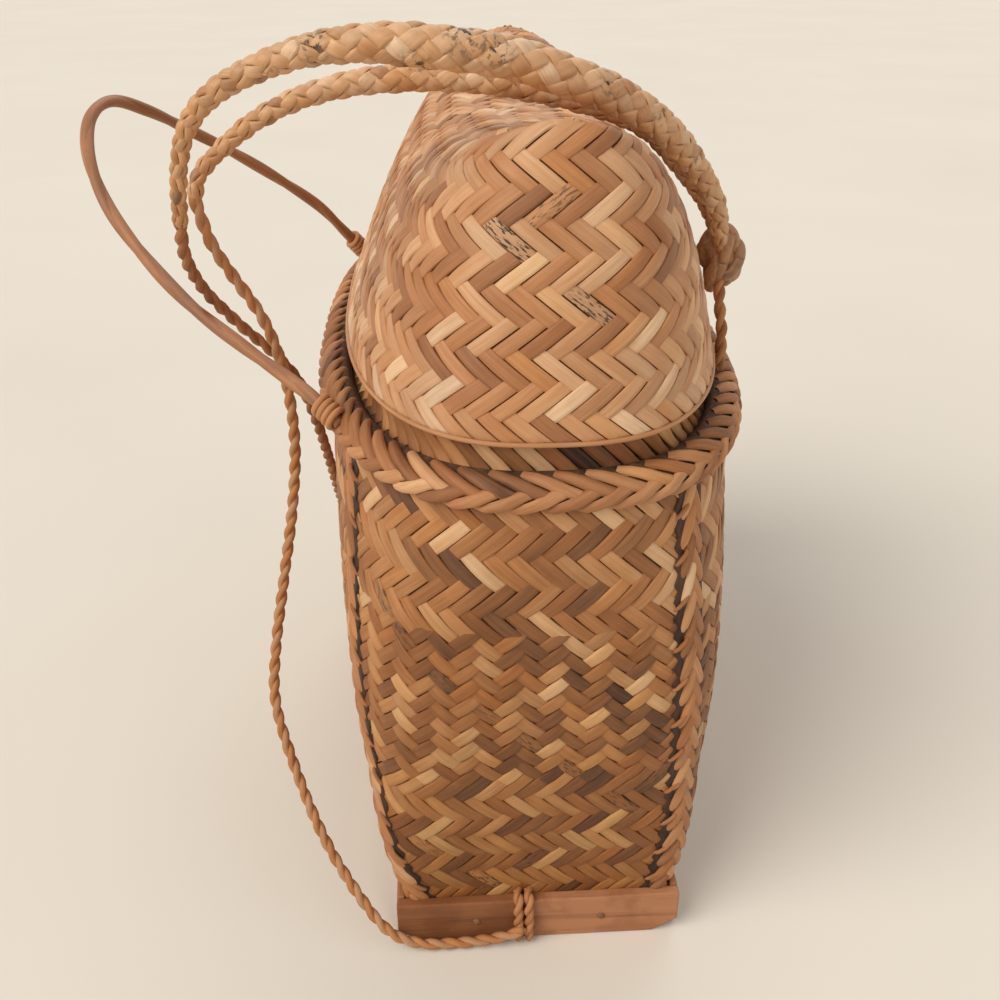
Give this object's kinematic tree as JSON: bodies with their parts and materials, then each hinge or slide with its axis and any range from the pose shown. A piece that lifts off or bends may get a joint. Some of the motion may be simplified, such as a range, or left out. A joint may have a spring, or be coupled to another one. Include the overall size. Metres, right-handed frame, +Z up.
{
  "type": "backpack basket",
  "caption": "Lidded backpack basket plaited from split cane, with a saddle-shaped lid, a braided shoulder ring, corner bands, a wooden base frame, a carry loop and corded shoulder straps.",
  "frame": {"origin": "centre of the woven floor's underside, on the table", "axes": "+Z up, -Y towards the narrow end that faces the viewer, -X towards the side with the carry loop"},
  "size_m": [0.2331, 0.2938, 0.3234],
  "materials": {
    "cane_weave": "satin",
    "cane_braid": "satin",
    "cane_cord": "matte",
    "pale_wood": "matte",
    "peg_wood": "matte",
    "loop_cane": "satin",
    "strap_plait": "satin"
  },
  "bodies": {
    "basket": {"woven_body": "cane_weave", "shoulder_braid": "cane_braid", "near_left_band": "cane_braid", "near_right_band": "cane_braid", "far_left_band": "cane_braid", "far_right_band": "cane_braid", "corner_stitches": "cane_cord", "near_slat": "pale_wood", "far_slat": "pale_wood", "left_slat": "pale_wood", "right_slat": "pale_wood", "base_pegs": "peg_wood", "carry_loop": "loop_cane", "near_loop_lashing": "cane_cord", "far_loop_lashing": "cane_cord", "near_strap": "strap_plait", "far_strap": "strap_plait", "strap_knot": "strap_plait", "anchor_cord": "cane_cord", "near_strap_cord": "cane_cord", "far_strap_cord": "cane_cord", "near_base_tie": "cane_cord", "far_base_tie": "cane_cord"},
    "lid": {"woven_lid": "cane_weave"}
  },
  "joints": [
    {"name": "lid_lift", "type": "slide", "parent": "basket", "child": "lid", "axis": [0, 0, 1], "range_m": [0, 0.045], "deforming": ["near_strap", "far_strap", "strap_knot", "anchor_cord", "near_strap_cord", "far_strap_cord"]}
  ]
}
